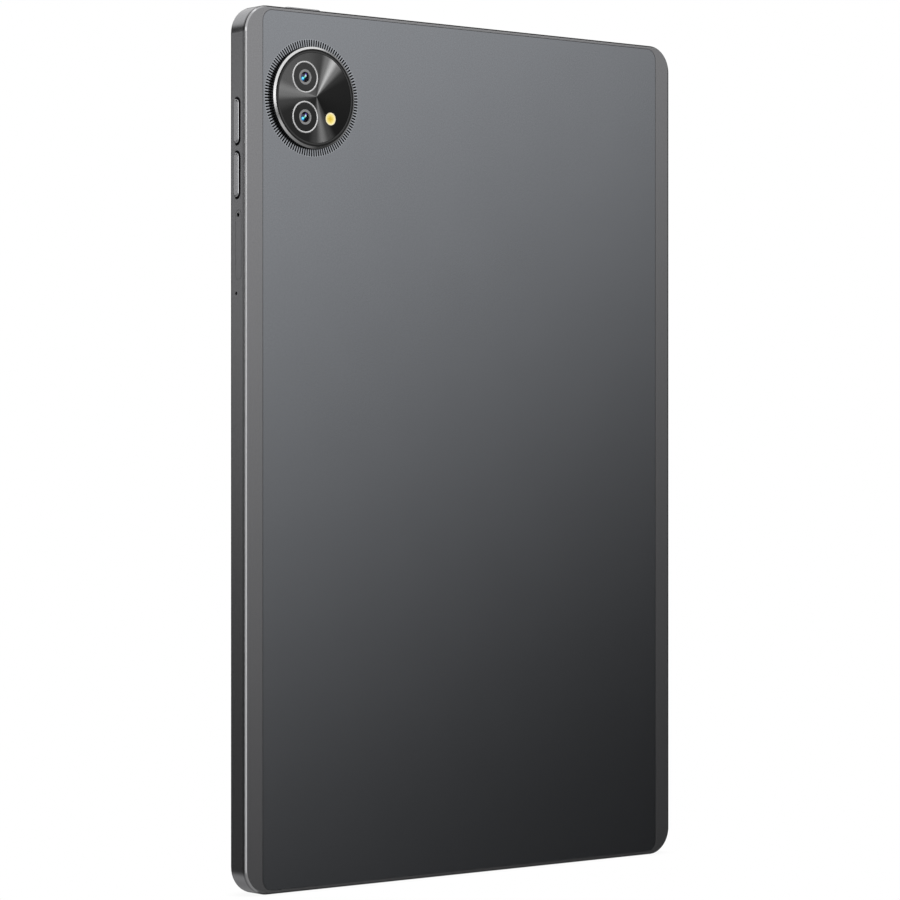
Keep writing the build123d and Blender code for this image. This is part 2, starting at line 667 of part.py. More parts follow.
def usb_c_port():
    """The port: a rounded steel shell with the contact tongue inside."""
    z = (0.4, 7.0)
    inner = (USB_SHELL_W - 2 * USB_WALL, USB_SHELL_T - 2 * USB_WALL)
    spot = Pos(0, USB_Y)
    shell = end_prism(spot * SlotOverall(USB_SHELL_W, USB_SHELL_T), z)
    shell -= end_prism(spot * SlotOverall(*inner), (z[0] - 1, 6.2))
    return shell + block((-3.35, 3.35), (USB_Y - 0.35, USB_Y + 0.35), (1.0, 6.5))


def main_flex():
    """The long flexible circuit between the two boards, laid between the cells."""
    ribbon = block((-2.5, 2.5), (1.0, 1.12), (18, 182))
    ribbon += block((-4, 4), (1.0, Y_USB_BOARD[0]), (18, 21))
    return ribbon + block((-4, 4), (1.0, Y_BOARD[0]), (179, 182))


def display_flex():
    """The display's flexible circuit, folded through the slot in the mid plate."""
    x = (-30, -14)
    behind = block(x, (-0.94, -0.87), (202.8, 240))
    riser = block(x, (-0.94, 1.1), (202.8, 202.9))
    return behind + riser + block(x, (1.0, 1.1), (196, 202.9)) + block(x, (1.1, Y_BOARD[0]), (196, 199))


def board_screws():
    """The cross-head screws of both boards, one kind."""
    spots = [(x, z, Y_BOARD[1]) for x, z in BOARD_SCREWS]
    spots += [(x, z, Y_USB_BOARD[1]) for x, z in USB_BOARD_SCREWS]
    return Compound(children=[screw(x, z, y, 2.3) for x, z, y in spots])


def plate_screws():
    """The cross-head screws that hold the mid plate to the side frame."""
    return Compound(children=[screw(x, z, Y_PLATE[1], 1.7) for x, z in PLATE_SCREWS])


def screw(x, z, y_head, length):
    """A pan-head screw that is driven from the back, with a cross recess."""
    head = disc(HEAD_R, (y_head, y_head + HEAD_T), x, z)
    head = fillet(edges_at_y(head, y_head + HEAD_T), 0.15)
    cross = Pos(x, z) * (Rectangle(2 * DRIVE_R, 0.3) + Rectangle(0.3, 2 * DRIVE_R))
    head -= plate(cross, (y_head + 0.2, y_head + 1))
    return head + disc(SCREW_R, (y_head - length, y_head), x, z)


# ---- sound ----

def speaker(x, top):
    """A speaker in its sealed box, with a port that faces the grille."""
    z = (SPEAKER_EDGE, SPEAKER_EDGE + SPEAKER_H)
    if top:
        z = (HEIGHT - z[1], HEIGHT - z[0])
    box = block((x - SPEAKER_W / 2, x + SPEAKER_W / 2), SPEAKER_Y, z)
    box = fillet(box.edges().filter_by(Axis.Y), 1)
    middle = (z[0] + z[1]) / 2
    cone = Pos(x, middle) * (SlotOverall(16, 8) - SlotOverall(12, 4))
    box -= plate(cone, (SPEAKER_Y[1] - 0.3, SPEAKER_Y[1] + 1))
    port_w, deep = SPEAKER_PORT
    z_port = (z[1] - deep, z[1] + 1) if top else (z[0] - 1, z[0] + deep)
    return box - block((x - port_w / 2, x + port_w / 2), SPEAKER_PORT_Y, z_port)


def speaker_meshes():
    """The four woven meshes between the speakers and their grilles."""
    meshes = []
    for z in ((WALL + 0.1, WALL + 0.3), (HEIGHT - WALL - 0.3, HEIGHT - WALL - 0.1)):
        for side in (-1, 1):
            x = side * GRILLE_X
            meshes.append(block((x - 13.5, x + 13.5), (-0.3, 1.2), z))
    return Compound(children=meshes)


def microphone():
    """The microphone capsule behind the small hole in the side."""
    return block((77.2, 78.7), (-1.6, 0.6), (MIC_Z - 2, MIC_Z + 2))


def microphone_gasket():
    """The rubber boot that seals the microphone to its hole."""
    boot = block((78.7, HALF_W - WALL), (-1.6, 0.6), (MIC_Z - 1.5, MIC_Z + 1.5))
    return boot - side_prism(Pos(MIC_Y, MIC_Z) * Circle(0.4), (78, 82))


# ---- front camera and radio ----

def front_camera():
    """The front camera, in the border beside the long edge of the display."""
    body = block((76.7, 80.7), (-1.9, 0.6), (MID_Z - 3.2, MID_Z + 3.2))
    body += disc(FRONT_CAMERA_R, (-2.95, -1.9), FRONT_CAMERA_X, MID_Z)
    return body - disc(1.2, (-3.1, -2.5), FRONT_CAMERA_X, MID_Z)


def front_camera_lens():
    """The front camera's outer element."""
    return disc(1.1, (-2.8, -2.5), FRONT_CAMERA_X, MID_Z)


def antenna(z):
    """A printed antenna on its carrier, along the inside of the far side."""
    x = -(HALF_W - WALL)
    carrier = block((x, x + 2.2), (-0.3, 2.2), z)
    return carrier - block((x + 0.4, x + 3), (0.3, 3), (z[0] + 1, z[1] - 1))


def antenna_cable():
    """The thin coaxial lead from the lower antenna to the main board."""
    y = 1.0
    x = -(HALF_W - WALL) + 3.4
    corners = [(x, y, 58), (x, y, 186), (-41, y, 186)]
    path = FilletPolyline(*corners, radius=8)
    lead = sweep(Plane(path @ 0, z_dir=path % 0) * Circle(0.45), path=path)
    return lead + block((-41, -38.4), (0.4, 1.6), (184.8, 187.2))


def main():
    os.makedirs("parts", exist_ok=True)
    nodes = {
        "side_frame": side_frame(),
        "back_panel": back_panel(),
        "panel_adhesive": panel_adhesive(),
        "front_glass": front_glass(),
        "display_adhesive": display_adhesive(),
        "optical_adhesive": optical_adhesive(),
        "lcd_panel": lcd_panel(),
        "backlight_unit": backlight_unit(),
        "mid_plate": mid_plate(),
        "camera_trim_ring": camera_trim_ring(),
        "camera_island_bezel": camera_island_bezel(),
        "camera_deco_disc": camera_deco_disc(),
        "flash_lens": flash_lens(),
        "flash_led": flash_led(),
        "volume_up_button": volume_button(VOLUME_Z["up"]),
        "volume_down_button": volume_button(VOLUME_Z["down"]),
        "power_button": power_button(),
        "side_key_switches": side_key_switches(),
        "side_key_flex": side_key_flex(),
        "side_key_bracket": side_key_bracket(),
        "power_key_switch": power_key_switch(),
        "power_key_flex": power_key_flex(),
        "sim_tray": sim_tray(),
        "sim_card_reader": sim_card_reader(),
        "sim_eject_rod": sim_eject_rod(),
        "sim_eject_lever": sim_eject_lever(),
        "battery_cell_left": battery_cell(-1),
        "battery_cell_right": battery_cell(1),
        "battery_tape": battery_tape(),
        "battery_board": battery_board(),
        "main_board": main_board(),
        "processor_shield": shield(*SHIELDS["processor"]),
        "power_shield": shield(*SHIELDS["power"]),
        "graphite_sheet": graphite_sheet(),
        "usb_board": usb_board(),
        "usb_c_port": usb_c_port(),
        "main_flex": main_flex(),
        "display_flex": display_flex(),
        "board_screws": board_screws(),
        "plate_screws": plate_screws(),
        "speaker_top_left": speaker(-GRILLE_X, True),
        "speaker_top_right": speaker(GRILLE_X, True),
        "speaker_bottom_left": speaker(-GRILLE_X, False),
        "speaker_bottom_right": speaker(GRILLE_X, False),
        "speaker_meshes": speaker_meshes(),
        "microphone": microphone(),
        "microphone_gasket": microphone_gasket(),
        "front_camera": front_camera(),
        "front_camera_lens": front_camera_lens(),
        "wireless_antenna": antenna(ANTENNA_Z["wireless"]),
        "mobile_antenna": antenna(ANTENNA_Z["mobile"]),
        "antenna_cable": antenna_cable(),
    }
    for place, z in LENS_Z.items():
        nodes[f"{place}_lens_ring"] = lens_ring(z)
        nodes[f"{place}_lens_cover"] = lens_cover(z)
        nodes[f"{place}_camera_module"] = camera_module(z)
        nodes[f"{place}_camera_lens"] = camera_lens(z)
    for name, shape in nodes.items():
        save(shape, name)


main()
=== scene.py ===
import json
import math

import bpy
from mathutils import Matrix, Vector


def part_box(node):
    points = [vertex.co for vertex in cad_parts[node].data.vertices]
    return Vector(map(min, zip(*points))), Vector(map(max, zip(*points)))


# The looks of an 11-inch tablet computer. Metres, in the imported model's frame: the tablet stands on
# its bottom edge, the back faces +Y, the screen -Y, and the keys are on the +X side.

MM = 0.001
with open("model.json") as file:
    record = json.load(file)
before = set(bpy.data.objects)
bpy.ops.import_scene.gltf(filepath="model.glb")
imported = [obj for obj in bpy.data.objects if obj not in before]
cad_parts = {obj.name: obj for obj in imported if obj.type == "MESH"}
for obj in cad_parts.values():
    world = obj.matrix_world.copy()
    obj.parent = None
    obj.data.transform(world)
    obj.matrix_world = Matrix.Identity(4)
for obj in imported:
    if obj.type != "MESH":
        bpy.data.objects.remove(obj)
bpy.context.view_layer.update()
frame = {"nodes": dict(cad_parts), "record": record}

# ---- places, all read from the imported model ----
FRAME_LOW, FRAME_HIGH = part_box("side_frame")
MIDDLE = (FRAME_LOW + FRAME_HIGH) / 2
HEIGHT = FRAME_HIGH.z - FRAME_LOW.z
BACK_Y = FRAME_HIGH.y


def centre(node):
    """The middle of a CAD node's box."""
    low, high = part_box(node)
    return (low + high) / 2


def width_of(node):
    """A CAD node's size along X."""
    low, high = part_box(node)
    return high.x - low.x


ISLAND = centre("camera_deco_disc")
UPPER_LENS = centre("upper_lens_cover")
LOWER_LENS = centre("lower_lens_cover")
FRONT_CAMERA = centre("front_camera_lens")

# ---- camera ----
YAW = math.radians(39.73)       # from the back's normal, towards the key side
CAMERA_DISTANCE = 1.0053        # from the tablet's axis
CAMERA_OFFSET = -0.00314        # of the optical axis from the tablet's axis, to the right
SENSOR = 36.0                   # width, in millimetres
LENS = 133.18                   # focal length, in millimetres


def make_camera():
    """A level camera at mid-height, seeing the back three quarters on."""
    forward = Vector((-math.sin(YAW), -math.cos(YAW), 0))
    right = Vector((-math.cos(YAW), math.sin(YAW), 0))
    data = bpy.data.cameras.new("camera")
    data.lens = LENS
    data.sensor_width = SENSOR
    data.clip_start = 0.01
    camera = bpy.data.objects.new("camera", data)
    aim = Vector((0, 0, HEIGHT / 2))
    camera.location = aim - forward * CAMERA_DISTANCE + right * CAMERA_OFFSET
    camera.rotation_mode = "QUATERNION"
    camera.rotation_quaternion = forward.to_track_quat("-Z", "Y")
    bpy.context.scene.collection.objects.link(camera)
    bpy.context.scene.camera = camera


# ---- node trees ----

def add(tree, kind, inputs=None, **settings):
    """A new node. Its inputs are sockets to link from, or values."""
    node = tree.nodes.new(kind)
    for name, value in settings.items():
        setattr(node, name, value)
    for name, value in (inputs or {}).items():
        socket = node.inputs[name]
        if isinstance(value, bpy.types.NodeSocket):
            tree.links.new(value, socket)
        else:
            socket.default_value = value
    return node


def calc(tree, operation, *values):
    """The output of a Math node."""
    return add(tree, "ShaderNodeMath", dict(enumerate(values)), operation=operation).outputs[0]


def ramp(tree, value, low, high, to_low=0.0, to_high=1.0):
    """The value taken smoothly from one range to another, and held at its ends."""
    inputs = {"Value": value, "From Min": low, "From Max": high,
              "To Min": to_low, "To Max": to_high}
    node = add(tree, "ShaderNodeMapRange", inputs, interpolation_type="SMOOTHSTEP")
    return node.outputs["Result"]


def blend(tree, factor, first, second):
    """A mix of two colours."""
    inputs = {0: factor, 6: first, 7: second}
    return add(tree, "ShaderNodeMix", inputs, data_type="RGBA").outputs[2]


def grey(level):
    """A neutral colour."""
    return (level, level, level, 1)


def scaled(colour, factor):
    """A colour, lighter or darker."""
    return tuple(min(1.0, c * factor) for c in colour[:3]) + (1,)


def blank(name):
    """A material with one Principled shader, and its tree."""
    material = bpy.data.materials.new(name)
    material.use_nodes = True
    tree = material.node_tree
    shader = tree.nodes["Principled BSDF"]
    return material, tree, shader


def place(tree):
    """Object coordinates, which are the model's own, in metres."""
    return add(tree, "ShaderNodeTexCoord").outputs["Object"]


def split(tree, vector):
    """The outputs X, Y and Z of a vector."""
    return add(tree, "ShaderNodeSeparateXYZ", {0: vector}).outputs


def length(tree, first, second):
    """The length of the vector with two given parts."""
    square = calc(tree, "ADD", calc(tree, "MULTIPLY", first, first),
                  calc(tree, "MULTIPLY", second, second))
    return calc(tree, "SQRT", square)


def noise(tree, scale, detail=2.0, where=None):
    """Noise with features about 1 / scale of a metre."""
    inputs = {"Vector": where or place(tree), "Scale": scale, "Detail": detail}
    return add(tree, "ShaderNodeTexNoise", inputs).outputs["Fac"]


def bump(tree, shader, height, depth, strength=1.0):
    """A relief of the given depth, in metres."""
    inputs = {"Height": height, "Distance": depth, "Strength": strength}
    tree.links.new(add(tree, "ShaderNodeBump", inputs).outputs["Normal"], shader.inputs["Normal"])


def feed(tree, shader, name, value):
    """Links or sets one input of the shader."""
    if isinstance(value, bpy.types.NodeSocket):
        tree.links.new(value, shader.inputs[name])
    else:
        shader.inputs[name].default_value = value


# ---- materials of the housing ----
GRAIN = 2300.0              # blasting that shows as a fine mottle, per metre
FINE_GRAIN = 9000.0         # the blasted surface itself, per metre
CLOUD = 45.0                # slow changes of tone, per metre
GRAIN_CONTRAST = 0.26       # share by which the mottle lightens and darkens the metal
PANEL_COLOUR = (0.334, 0.348, 0.372, 1)
PANEL_ROUGHNESS = 0.18
FRAME_COLOUR = (0.363, 0.363, 0.374, 1)
FRAME_ROUGHNESS = 0.24
CUT_COLOUR = (0.53, 0.53, 0.54, 1)
CUT_ROUGHNESS = 0.16
CUT_FACING = (0.58, 0.84)   # least and most that the bright chamfer faces the back
# black of the ring's slots, and of the painted shade on the frame and keys
SLOT_AND_SHADE_BLACK = (0.003, 0.003, 0.003, 1)
WALL = 2.2 * MM             # thickness of the frame's wall
KEY_FLANGE = 0.5 * MM       # a key's hidden flange, past its cap
KEY_PAINTED_SHADE = 0.65 * MM       # reach of the painted shade round a key
SIDE_EDGE_Y = BACK_Y - 0.75 * MM        # where the side turns into the bright chamfer
SIDE_SHADE_WIDTH = 0.55 * MM                   # width of the painted shade line along that turn
SIDE_SHADE_DEPTH = 0.4                   # and how dark that painted shade is, at most 1
FAR_EDGE_X = FRAME_LOW.x + 0.95 * MM    # inner side of the painted shade line along the far long edge
FAR_SHADE_DEPTH = 0.7                    # and how dark that painted shade is
KEY_BRIGHTNESS = 1.5        # of a key beside the frame
TOOTH_BRIGHTNESS = 1.4      # of the slotted ring's teeth beside the panel


def satin_base(tree, shader, colour, roughness):
    """Fine-blasted, anodised metal: grain in the colour, the gloss and the relief."""
    grain = noise(tree, GRAIN, 1.0)
    fine = noise(tree, FINE_GRAIN, 2.0)
    cloud = noise(tree, CLOUD, 2.0)
    mottle = calc(tree, "MULTIPLY", calc(tree, "ADD", grain, fine), 0.45)
    tone = calc(tree, "ADD", mottle, calc(tree, "MULTIPLY", cloud, 0.1))
    base = blend(tree, tone, scaled(colour, 1 - GRAIN_CONTRAST), scaled(colour, 1 + GRAIN_CONTRAST))
    gloss = ramp(tree, fine, 0.3, 0.7, roughness - 0.02, roughness + 0.02)
    bump(tree, shader, calc(tree, "ADD", grain, fine), 0.001 * MM, 0.3)
    return base, gloss


def normal_y(tree):
    """How far the surface faces the back, from -1 to 1."""
    normal = add(tree, "ShaderNodeTexCoord").outputs["Normal"]
    return split(tree, normal)["Y"]


def between(tree, value, low, high, soft):
    """One where the value lies between two limits, and none outside."""
    rising = ramp(tree, value, low - soft, low + soft)
    falling = ramp(tree, value, high - soft, high + soft, 1.0, 0.0)
    return calc(tree, "MULTIPLY", rising, falling)


def mix_value(tree, factor, first, second):
    """A mix of two numbers."""
    inputs = {0: factor, 2: first, 3: second}
    return add(tree, "ShaderNodeMix", inputs, data_type="FLOAT").outputs[0]


def panel_material():
    """The inset back panel, a little bluer and smoother than the frame."""
    material, tree, shader = blank("panel_satin")
    base, gloss = satin_base(tree, shader, PANEL_COLOUR, PANEL_ROUGHNESS)
    feed(tree, shader, "Base Color", base)
    feed(tree, shader, "Roughness", gloss)
    feed(tree, shader, "Metallic", 1.0)
    return material


def painted_key_shade(tree, node):
    """Painted shade close round a side key's cap on the frame, but for its screen side."""
    low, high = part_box(node)
    middle = (low + high) / 2
    half_y = (high.y - low.y) / 2 - KEY_FLANGE
    straight = (high.z - low.z) / 2 - KEY_FLANGE - half_y
    parts = split(tree, place(tree))
    y = calc(tree, "SUBTRACT", parts["Y"], middle.y)
    z = calc(tree, "ABSOLUTE", calc(tree, "SUBTRACT", parts["Z"], middle.z))
    z = calc(tree, "MAXIMUM", calc(tree, "SUBTRACT", z, straight), 0.0)
    away = calc(tree, "SUBTRACT", length(tree, y, z), half_y)
    near = ramp(tree, away, KEY_PAINTED_SHADE - 0.1 * MM, KEY_PAINTED_SHADE + 0.1 * MM, 1.0, 0.0)
    near = calc(tree, "MULTIPLY", near, ramp(tree, y, -0.9 * half_y, -0.3 * half_y))
    on_key_side = calc(tree, "GREATER_THAN", parts["X"], FRAME_HIGH.x - WALL)
    return calc(tree, "MULTIPLY", near, on_key_side)


def frame_material(name):
    """The side frame: satin, its back chamfer cut bright, painted shade lines along its turn and far
    edge, and painted shade round its key slots.
    """
    material, tree, shader = blank(name)
    base, gloss = satin_base(tree, shader, FRAME_COLOUR, FRAME_ROUGHNESS)
    cut = between(tree, normal_y(tree), *CUT_FACING, 0.04)
    parts = split(tree, place(tree))
    soft = 0.08 * MM
    # painted shade: dark lines along the side's turn into the chamfer and along the far long edge,
    # standing in for dark reflections
    turn = between(tree, parts["Y"], SIDE_EDGE_Y - SIDE_SHADE_WIDTH, SIDE_EDGE_Y + 0.05 * MM, soft)
    far = ramp(tree, parts["X"], FAR_EDGE_X - soft, FAR_EDGE_X + soft, 1.0, 0.0)
    far = calc(tree, "MULTIPLY", far, calc(tree, "GREATER_THAN", parts["Y"], SIDE_EDGE_Y))
    painted_shade_lines = calc(tree, "MAXIMUM", calc(tree, "MULTIPLY", turn, SIDE_SHADE_DEPTH),
                 calc(tree, "MULTIPLY", far, FAR_SHADE_DEPTH))
    tone = blend(tree, painted_shade_lines, base, SLOT_AND_SHADE_BLACK)
    tone = blend(tree, cut, tone, CUT_COLOUR)
    # painted shade round the key slots, standing in for the shadow in their gaps
    for key in ("volume_up_button", "volume_down_button"):
        tone = blend(tree, painted_key_shade(tree, key), tone, SLOT_AND_SHADE_BLACK)
    feed(tree, shader, "Base Color", tone)
    feed(tree, shader, "Roughness", mix_value(tree, cut, gloss, CUT_ROUGHNESS))
    feed(tree, shader, "Metallic", 1.0)
    return material


def key_material(name):
    """A key: as the frame, a little lighter, and painted shade down in its gap."""
    material, tree, shader = blank(name)
    colour = scaled(FRAME_COLOUR, KEY_BRIGHTNESS)
    base, gloss = satin_base(tree, shader, colour, FRAME_ROUGHNESS - 0.04)
    parts = split(tree, place(tree))
    out_x = calc(tree, "SUBTRACT", parts["X"], FRAME_HIGH.x)
    out_z = calc(tree, "SUBTRACT", parts["Z"], FRAME_HIGH.z)
    # painted shade: the key's walls near the frame are dark, standing in for the shadow in its gap
    clear_of_painted_shade = ramp(tree, calc(tree, "MAXIMUM", out_x, out_z), 0.05 * MM, 0.30 * MM)
    feed(tree, shader, "Base Color", blend(tree, clear_of_painted_shade, SLOT_AND_SHADE_BLACK, base))
    feed(tree, shader, "Roughness", gloss)
    feed(tree, shader, "Metallic", 1.0)
    return material


def trim_material():
    """The slotted ring: satin teeth, blackened slots."""
    material, tree, shader = blank("trim_metal")
    colour = scaled(PANEL_COLOUR, TOOTH_BRIGHTNESS)
    base, gloss = satin_base(tree, shader, colour, PANEL_ROUGHNESS)
    height = split(tree, place(tree))["Y"]
    top = ramp(tree, height, BACK_Y - 0.04 * MM, BACK_Y - 0.005 * MM)
    feed(tree, shader, "Base Color", blend(tree, top, SLOT_AND_SHADE_BLACK, base))
    feed(tree, shader, "Roughness", mix_value(tree, top, 0.6, gloss))
    feed(tree, shader, "Metallic", 1.0)
    return material


# ---- materials of the camera island ----
# A painted sheen of the spun disc round its apex, painted reflections: degrees from +X towards +Z,
# and the level of the metal.
DISC_PAINTED_SHEEN = [(0, 0.27), (8, 0.33), (20, 0.17), (70, 0.14), (98, 0.09), (110, 0.30), (121, 0.85),
              (131, 0.30), (142, 0.06), (155, 0.030), (235, 0.020), (248, 0.10), (260, 0.31),
              (272, 0.09), (285, 0.034), (335, 0.040), (350, 0.09), (360, 0.27)]
DISC_R = width_of("camera_deco_disc") / 2
APEX_SHIFT = Vector((-0.63, 0, 0.36)) * MM     # of the painted sheen's apex from the disc's centre
GROOVE_PITCH = 0.11 * MM
BEZEL_BOTTOM_SHADE = 0.36            # level of the bezel's bright bevel at its bottom, painted shade there


def polar(tree, middle):
    """Distance from an axis along Y through a point, in metres, and the angle round it."""
    inputs = {0: place(tree), 1: tuple(middle)}
    offset = add(tree, "ShaderNodeVectorMath", inputs, operation="SUBTRACT")
    parts = split(tree, offset.outputs[0])
    return length(tree, parts["X"], parts["Z"]), calc(tree, "ARCTAN2", parts["Z"], parts["X"])


def bezel_material():
    """The island's bezel: dark wall, bevel cut bright with painted shade towards its bottom, dark rim
    with a paler line.
    """
    material, tree, shader = blank("bezel_metal")
    radius, _ = polar(tree, ISLAND)
    cut = between(tree, normal_y(tree), 0.70, 0.95, 0.03)
    line = between(tree, radius, DISC_R + 0.10 * MM, DISC_R + 0.50 * MM, 0.05 * MM)
    streak = noise(tree, GRAIN, 2.0)
    dark = blend(tree, line, blend(tree, streak, grey(0.022), grey(0.034)), grey(0.085))
    bright = blend(tree, streak, grey(0.84), grey(0.92))
    height = split(tree, place(tree))["Z"]
    # painted shade: the bright bevel darkens towards its bottom, standing in for dark reflections
    # there
    lit = ramp(tree, height, ISLAND.z - 1.05 * DISC_R, ISLAND.z - 0.55 * DISC_R)
    bright = blend(tree, lit, grey(BEZEL_BOTTOM_SHADE), bright)
    feed(tree, shader, "Base Color", blend(tree, cut, dark, bright))
    feed(tree, shader, "Roughness", mix_value(tree, cut, 0.30, 0.18))
    feed(tree, shader, "Metallic", 0.9)
    return material


def disc_material():
    """The spun disc: fine circular grooves, and three wedges of painted sheen, painted reflections
    that meet at its apex.
    """
    material, tree, shader = blank("disc_metal")
    radius, angle = polar(tree, ISLAND + APEX_SHIFT)
    turn = calc(tree, "FRACT", calc(tree, "DIVIDE", angle, 2 * math.pi))
    # painted reflection: wedges of sheen painted into the base colour by angle round the apex
    sheen = add(tree, "ShaderNodeValToRGB", {"Fac": turn})
    stops = sheen.color_ramp.elements
    while len(stops) < len(DISC_PAINTED_SHEEN):
        stops.new(0.5)
    for stop, (degrees, level) in zip(stops, DISC_PAINTED_SHEEN):
        stop.position = degrees / 360
        stop.color = grey(level)
    sheen.color_ramp.interpolation = "EASE"
    groove = calc(tree, "SINE", calc(tree, "MULTIPLY", radius, 2 * math.pi / GROOVE_PITCH))
    fleck = noise(tree, 1500.0, 3.0)
    lighter = blend(tree, fleck, grey(0.9), grey(1.1))
    base = add(tree, "ShaderNodeMix", {0: 1.0, 6: sheen.outputs["Color"], 7: lighter},
               data_type="RGBA", blend_type="MULTIPLY").outputs[2]
    feed(tree, shader, "Base Color", base)
    feed(tree, shader, "Roughness", ramp(tree, fleck, 0.3, 0.7, 0.27, 0.31))
    feed(tree, shader, "Metallic", 1.0)
    bump(tree, shader, groove, 0.0006 * MM, 0.5)
    return material


def ring_material():
    """The bright rings round the lenses."""
    material, tree, shader = blank("ring_metal")
    fleck = noise(tree, 1500.0, 2.0)
    feed(tree, shader, "Base Color", blend(tree, fleck, grey(0.96), grey(1.0)))
    feed(tree, shader, "Roughness", ramp(tree, fleck, 0.3, 0.7, 0.38, 0.42))
    feed(tree, shader, "Metallic", 0.5)
    return material


def spread(tree, size):
    """Offsets in X and Z from the middle of the node's own box, in metres, and the distance."""
    inside = add(tree, "ShaderNodeTexCoord").outputs["Generated"]
    parts = split(tree, inside)
    x = calc(tree, "MULTIPLY", calc(tree, "SUBTRACT", parts["X"], 0.5), size)
    z = calc(tree, "MULTIPLY", calc(tree, "SUBTRACT", parts["Z"], 0.5), size)
    return x, z, length(tree, x, z)


WINDOW_R = 1.55 * MM        # the clear middle of a lens cover
PRINT_RING_R = 2.2 * MM     # the outside of the grey ring printed round it


def cover_material():
    """A lens cover: dark print, painted lighter on the upper cover as painted light, with a grey
    ring, and a clear window in the middle.
    """
    material, tree, shader = blank("lens_cover")
    _, _, radius = spread(tree, width_of("upper_lens_cover"))
    ring = between(tree, radius, WINDOW_R, PRINT_RING_R, 0.04 * MM)
    clear = ramp(tree, radius, WINDOW_R - 0.05 * MM, WINDOW_R, 1.0, 0.0)
    fleck = noise(tree, 2500.0)
    height = split(tree, place(tree))["Z"]
    # painted light: the dark print is lighter on the upper cover than on the lower, following the
    # disc's lighting
    upper = ramp(tree, height, LOWER_LENS.z, UPPER_LENS.z)
    dark = blend(tree, upper, blend(tree, fleck, grey(0.006), grey(0.012)),
                 blend(tree, fleck, grey(0.036), grey(0.050)))
    pale = blend(tree, fleck, grey(0.34), grey(0.40))
    feed(tree, shader, "Base Color", blend(tree, ring, dark, pale))
    feed(tree, shader, "Roughness", ramp(tree, fleck, 0.3, 0.7, 0.10, 0.16))
    feed(tree, shader, "Alpha", calc(tree, "SUBTRACT", 1.0, calc(tree, "MULTIPLY", clear, 0.94)))
    shader.inputs["Specular IOR Level"].default_value = 0.3
    return material


# Painted glints in a lens, painted reflections of its coating that glow: offset in X and Z, radius in
# millimetres, colour and strength.
LENS_PAINTED_GLINTS = [
    ((0.45, -0.45), 0.75, (0.0, 0.40, 1.0, 1), 1.3),
    ((0.35, -0.30), 0.40, (0.30, 1.0, 1.0, 1), 1.3),
    ((-0.25, 0.05), 0.42, (0.20, 1.0, 0.55, 1), 1.0),
    ((-0.68, 0.48), 0.48, (0.65, 0.90, 1.0, 1), 1.5),
    ((-0.95, 0.95), 0.50, (0.20, 0.12, 0.75, 1), 0.8),
    ((0.80, 0.55), 0.60, (0.06, 0.02, 0.22, 1), 0.5),
]


def lens_material():
    """Coated optical glass over a black barrel, with painted glints that glow."""
    material, tree, shader = blank("camera_lens")
    x, z, radius = spread(tree, width_of("upper_camera_lens"))
    layer = ramp(tree, radius, 0.3 * MM, 1.5 * MM)
    glass = blend(tree, layer, (0.004, 0.006, 0.016, 1), (0.03, 0.02, 0.05, 1))
    feed(tree, shader, "Base Color", glass)
    feed(tree, shader, "Roughness", ramp(tree, noise(tree, 900.0), 0.2, 0.8, 0.02, 0.05))
    # painted reflections: coloured glints painted as a glow in the emission, though the lens gives no
    # light
    glow = grey(0.0)
    for (dx, dz), size, colour, strength in LENS_PAINTED_GLINTS:
        off_x = calc(tree, "SUBTRACT", x, dx * MM)
        off_z = calc(tree, "SUBTRACT", z, dz * MM)
        away = length(tree, off_x, off_z)
        spot = ramp(tree, away, 0.25 * size * MM, size * MM, strength, 0.0)
        glow = add(tree, "ShaderNodeMix", {0: spot, 6: glow, 7: colour}, data_type="RGBA",
                   blend_type="ADD", clamp_factor=False).outputs[2]
    feed(tree, shader, "Emission Color", glow)
    shader.inputs["Emission Strength"].default_value = 0.8
    shader.inputs["Coat Weight"].default_value = 0.6
    shader.inputs["Coat Roughness"].default_value = 0.01
    return material


FLASH_WINDOW_R = 1.78 * MM      # the golden middle of the flash, inside a dark rim


def flash_material():
    """The flash: golden phosphor under a frosted lens, paler towards the rim, glowing with painted
    light though it is off.
    """
    material, tree, shader = blank("flash_lens")
    x, z, radius = spread(tree, width_of("flash_lens"))
    core = ramp(tree, radius, 0.3 * MM, 1.3 * MM)
    cross = calc(tree, "MINIMUM", calc(tree, "ABSOLUTE", x), calc(tree, "ABSOLUTE", z))
    line = ramp(tree, cross, 0.0, 0.25 * MM, 0.6, 0.0)
    gold = blend(tree, noise(tree, 1800.0), (0.70, 0.50, 0.05, 1), (0.80, 0.60, 0.09, 1))
    pale = blend(tree, ramp(tree, radius, 1.2 * MM, 1.7 * MM), (0.86, 0.72, 0.24, 1),
                 (0.80, 0.73, 0.50, 1))
    lens = blend(tree, calc(tree, "MULTIPLY", line, calc(tree, "SUBTRACT", 1.0, core)),
                 blend(tree, core, gold, pale), (0.56, 0.36, 0.02, 1))
    rim = ramp(tree, radius, FLASH_WINDOW_R, FLASH_WINDOW_R + 0.08 * MM)
    colour = blend(tree, rim, lens, (0.02, 0.014, 0.008, 1))
    feed(tree, shader, "Base Color", colour)
    feed(tree, shader, "Roughness", ramp(tree, noise(tree, 1800.0), 0.3, 0.7, 0.2, 0.3))
    # painted light: the flash glows in its own colour, though it is not lit
    feed(tree, shader, "Emission Color", colour)
    shader.inputs["Emission Strength"].default_value = 0.45
    return material


ACTIVE_W = 148.1 * MM       # the picture area behind the front glass
ACTIVE_H = 236.9 * MM


